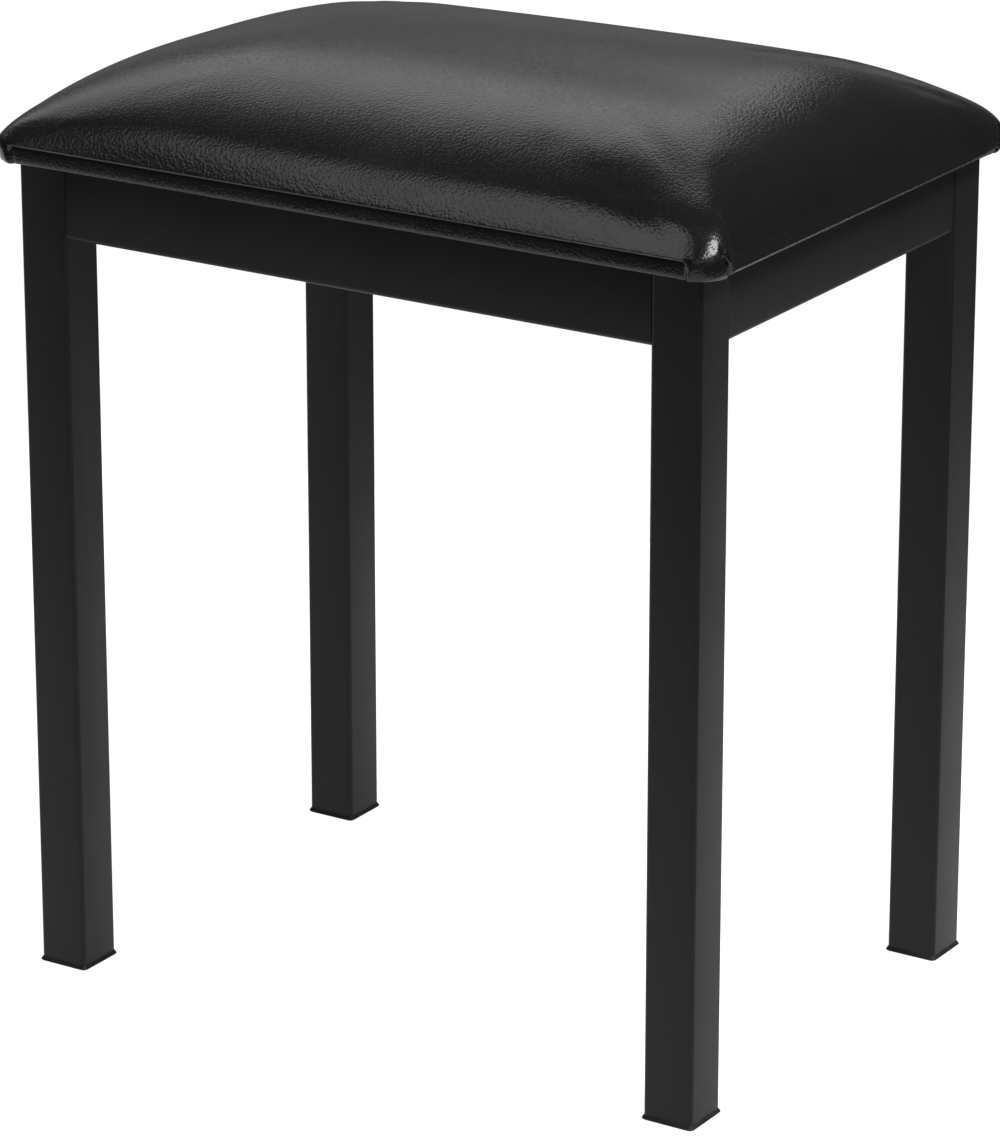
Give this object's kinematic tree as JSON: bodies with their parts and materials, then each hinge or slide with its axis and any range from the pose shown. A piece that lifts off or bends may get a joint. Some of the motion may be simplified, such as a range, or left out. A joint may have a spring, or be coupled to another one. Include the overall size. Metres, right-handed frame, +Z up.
{
  "type": "keyboard bench",
  "caption": "Rectangular keyboard bench with a crowned vinyl cushion on a rigid frame of square and rectangular black steel tube, standing on plastic foot plugs.",
  "frame": {"origin": "on the floor, under the middle of the bench", "axes": "+Z up, +X to the right along the long side, -Y towards the front"},
  "size_m": [0.424, 0.304, 0.4909],
  "materials": {
    "powder_coated_steel": "black satin powder coat with a fine texture",
    "zinc_plated_steel": "bright zinc plating",
    "foot_plastic": "black moulded plastic",
    "cover_vinyl": "black grained vinyl, satin",
    "cushion_foam": "open-cell foam",
    "board_wood": "raw plywood",
    "dust_cloth": "black non-woven cloth"
  },
  "bodies": {
    "root": {"leg_front_left": "powder_coated_steel", "leg_front_right": "powder_coated_steel", "leg_rear_left": "powder_coated_steel", "leg_rear_right": "powder_coated_steel", "foot_plug_front_left": "foot_plastic", "foot_plug_front_right": "foot_plastic", "foot_plug_rear_left": "foot_plastic", "foot_plug_rear_right": "foot_plastic", "rail_front": "powder_coated_steel", "rail_rear": "powder_coated_steel", "rail_left": "powder_coated_steel", "rail_right": "powder_coated_steel", "corner_plate_front_left": "powder_coated_steel", "corner_plate_front_right": "powder_coated_steel", "corner_plate_rear_left": "powder_coated_steel", "corner_plate_rear_right": "powder_coated_steel", "end_plate_front_left": "powder_coated_steel", "end_plate_front_right": "powder_coated_steel", "end_plate_rear_left": "powder_coated_steel", "end_plate_rear_right": "powder_coated_steel", "rivet_nut_front_left_lower": "zinc_plated_steel", "rivet_nut_front_left_upper": "zinc_plated_steel", "rivet_nut_front_right_lower": "zinc_plated_steel", "rivet_nut_front_right_upper": "zinc_plated_steel", "rivet_nut_rear_left_lower": "zinc_plated_steel", "rivet_nut_rear_left_upper": "zinc_plated_steel", "rivet_nut_rear_right_lower": "zinc_plated_steel", "rivet_nut_rear_right_upper": "zinc_plated_steel", "rail_bolt_front_left_lower": "zinc_plated_steel", "rail_bolt_front_left_upper": "zinc_plated_steel", "rail_bolt_front_right_lower": "zinc_plated_steel", "rail_bolt_front_right_upper": "zinc_plated_steel", "rail_bolt_rear_left_lower": "zinc_plated_steel", "rail_bolt_rear_left_upper": "zinc_plated_steel", "rail_bolt_rear_right_lower": "zinc_plated_steel", "rail_bolt_rear_right_upper": "zinc_plated_steel", "seat_bolt_front_left": "zinc_plated_steel", "seat_bolt_front_right": "zinc_plated_steel", "seat_bolt_rear_left": "zinc_plated_steel", "seat_bolt_rear_right": "zinc_plated_steel", "seat_washer_front_left": "zinc_plated_steel", "seat_washer_front_right": "zinc_plated_steel", "seat_washer_rear_left": "zinc_plated_steel", "seat_washer_rear_right": "zinc_plated_steel", "tee_nut_front_left": "zinc_plated_steel", "tee_nut_front_right": "zinc_plated_steel", "tee_nut_rear_left": "zinc_plated_steel", "tee_nut_rear_right": "zinc_plated_steel", "seat_board": "board_wood", "dust_cloth": "dust_cloth", "seat_foam": "cushion_foam", "seat_cover": "cover_vinyl"}
  },
  "joints": []
}
